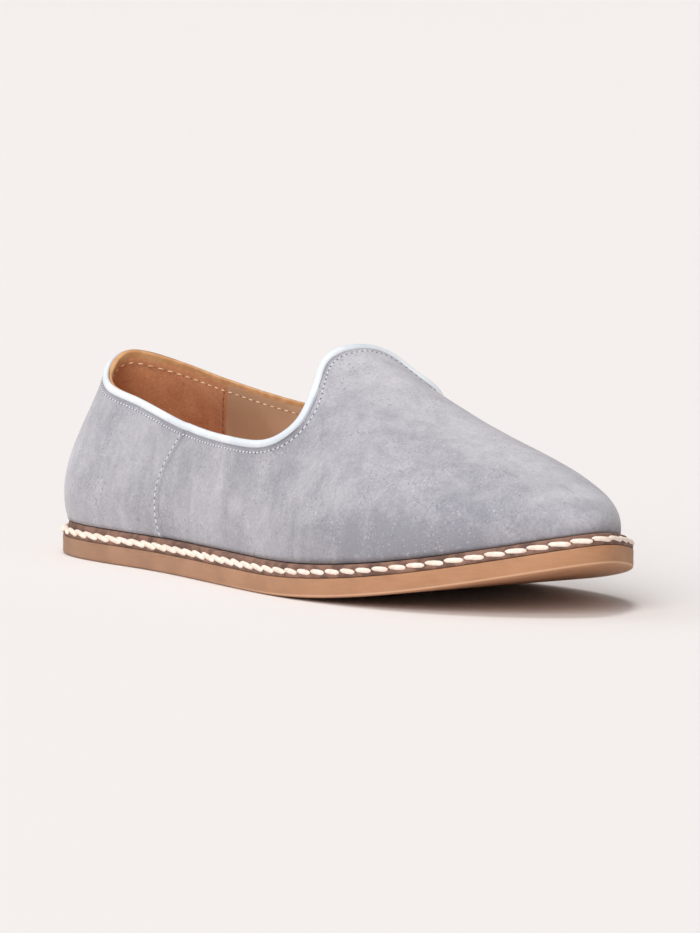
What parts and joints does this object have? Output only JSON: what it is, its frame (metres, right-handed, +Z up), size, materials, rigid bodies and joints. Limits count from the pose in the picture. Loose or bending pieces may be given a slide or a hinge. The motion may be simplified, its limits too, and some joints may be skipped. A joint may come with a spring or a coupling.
{
  "type": "flat slip-on shoe",
  "caption": "Flat slip-on shoe for the right foot: hollow suede upper with a rounded tongue and piped collar, on a stitched leather welt and a thin rubber sole with toe spring.",
  "frame": {"origin": "bottom centre of the shoe's bounding box, on the floor", "axes": "+X along the foot to the toe, -Y the outer side of the foot, +Z up"},
  "size_m": [0.252, 0.0854, 0.0722],
  "materials": {
    "outsole": "matt gum rubber",
    "welt": "matt brown leather",
    "upper": "napped suede",
    "piping": "smooth satin leather",
    "insole": "smooth matt leather"
  },
  "bodies": {
    "root": {"outsole": "outsole", "welt": "welt", "upper": "upper", "piping": "piping", "insole": "insole"}
  },
  "joints": []
}
